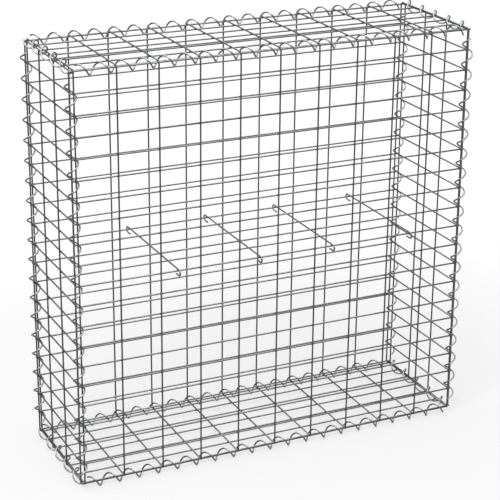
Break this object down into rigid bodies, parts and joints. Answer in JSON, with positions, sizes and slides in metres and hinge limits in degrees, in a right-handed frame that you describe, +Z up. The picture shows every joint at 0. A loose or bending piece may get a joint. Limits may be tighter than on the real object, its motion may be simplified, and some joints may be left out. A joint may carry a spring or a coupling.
{
  "type": "gabion basket",
  "caption": "Empty welded-wire gabion basket: flat mesh panels laced along every edge by spiral binders, with hooked tie wires inside, to be filled with stone as part of a wall.",
  "frame": {"origin": "middle of the basket's footprint, on the ground under its lowest spirals", "axes": "+X along the length to the right, +Y from the front to the back, +Z up"},
  "size_m": [1.0406, 0.341, 1.0337],
  "materials": {
    "mesh_wire": "galvanised, satin",
    "spiral_wire": "galvanised, satin",
    "tie_wire": "galvanised, satin"
  },
  "bodies": {
    "root": {"front_panel": "mesh_wire", "back_panel": "mesh_wire", "left_panel": "mesh_wire", "right_panel": "mesh_wire", "lid_panel": "mesh_wire", "base_panel": "mesh_wire", "spiral_top_front": "spiral_wire", "spiral_top_back": "spiral_wire", "spiral_top_left": "spiral_wire", "spiral_top_right": "spiral_wire", "spiral_base_front": "spiral_wire", "spiral_base_back": "spiral_wire", "spiral_base_left": "spiral_wire", "spiral_base_right": "spiral_wire", "spiral_front_left": "spiral_wire", "spiral_front_right": "spiral_wire", "spiral_back_left": "spiral_wire", "spiral_back_right": "spiral_wire", "tie_wire_1": "tie_wire", "tie_wire_2": "tie_wire", "tie_wire_3": "tie_wire", "tie_wire_4": "tie_wire"}
  },
  "joints": []
}
